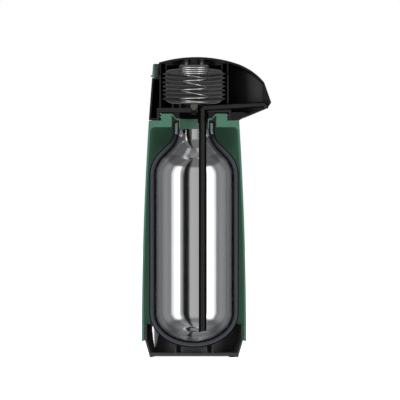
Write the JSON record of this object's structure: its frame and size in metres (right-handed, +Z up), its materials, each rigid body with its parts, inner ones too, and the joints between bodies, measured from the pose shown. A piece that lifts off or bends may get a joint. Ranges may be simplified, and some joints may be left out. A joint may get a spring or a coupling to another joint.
{
  "type": "pump vacuum flask",
  "caption": "Pump-action vacuum flask cut in half lengthwise: tapered shell, silvered glass liner, dip tube, beaked head with bellows pump, push button and folding handle.",
  "frame": {"origin": "on the flask's axis at the plane the base's rim stands on", "axes": "+Z up along the flask's axis, +X towards the spout, +Y into the half that the cut leaves; the cut is the plane y = 0"},
  "size_m": [0.1684, 0.0851, 0.3903],
  "materials": {
    "green_shell": "satin moulded dark green plastic, paler where it is cut",
    "black_housing": "semi-gloss black moulded plastic",
    "pump_plastic": "dark grey moulded plastic",
    "pipe_plastic": "smooth black pipe plastic",
    "bellows_plastic": "soft blown dark grey plastic with a slight sheen",
    "silvered_glass": "blown glass, silvered on its vacuum side",
    "satin_glass": "blown glass with satin silvering on its vacuum side",
    "black_rubber": "matte black rubber",
    "gasket_rubber": "matte brown rubber",
    "stopper_rubber": "matte dark grey rubber",
    "valve_silicone": "translucent beige-grey silicone",
    "spacer_pad": "pale grey fibre pad",
    "spring_steel": "bright drawn steel wire",
    "plated_steel": "zinc-plated steel"
  },
  "bodies": {
    "pot": {"body_shell": "green_shell", "base_cup": "black_housing", "rubber_feet": "black_rubber", "liner_outer": "satin_glass", "liner_inner": "silvered_glass", "liner_spacers": "spacer_pad", "liner_cushion": "black_rubber", "neck_gasket": "gasket_rubber"},
    "seal": {"stopper_seal": "stopper_rubber"},
    "head": {"head_housing": "black_housing", "head_cover": "black_housing", "handle_pin": "plated_steel", "stopper_plate": "pump_plastic", "outflow_channel": "pipe_plastic", "dip_tube": "pipe_plastic", "channel_seal": "black_rubber", "spout_nozzle": "pipe_plastic", "pump_well": "pump_plastic", "bellows": "bellows_plastic", "return_spring": "spring_steel"},
    "button": {"push_button": "black_housing", "bellows_cap": "pump_plastic", "button_screws": "plated_steel"},
    "valve": {"air_valve": "valve_silicone"},
    "handle": {"carry_handle": "green_shell"}
  },
  "joints": [
    {"name": "head_lift", "type": "slide", "parent": "pot", "child": "seal", "axis": [0, 0, 1], "range_m": [0, 0.008]},
    {"name": "head_twist", "type": "hinge", "parent": "seal", "child": "head", "pos_m": [0, 0, 0.312], "axis": [0, 0, 1], "range_deg": [0, 720]},
    {"name": "button_press", "type": "slide", "parent": "head", "child": "button", "axis": [0, 0, -1], "range_m": [0, 0.022], "stiffness_N_per_m": 400, "springref_m": -0.012, "deforming": ["bellows", "return_spring"]},
    {"name": "valve_lift", "type": "slide", "parent": "head", "child": "valve", "axis": [0, 0, 1], "range_m": [0, 0.0012], "stiffness_N_per_m": 50},
    {"name": "handle_swing", "type": "hinge", "parent": "head", "child": "handle", "pos_m": [0.008, 0.05, 0.37], "axis": [0, 1, 0], "range_deg": [0, 90]}
  ],
  "couplings": [
    {"joint": "head_lift", "follows": "head_twist", "m_per_rad": 0.00063662}
  ]
}
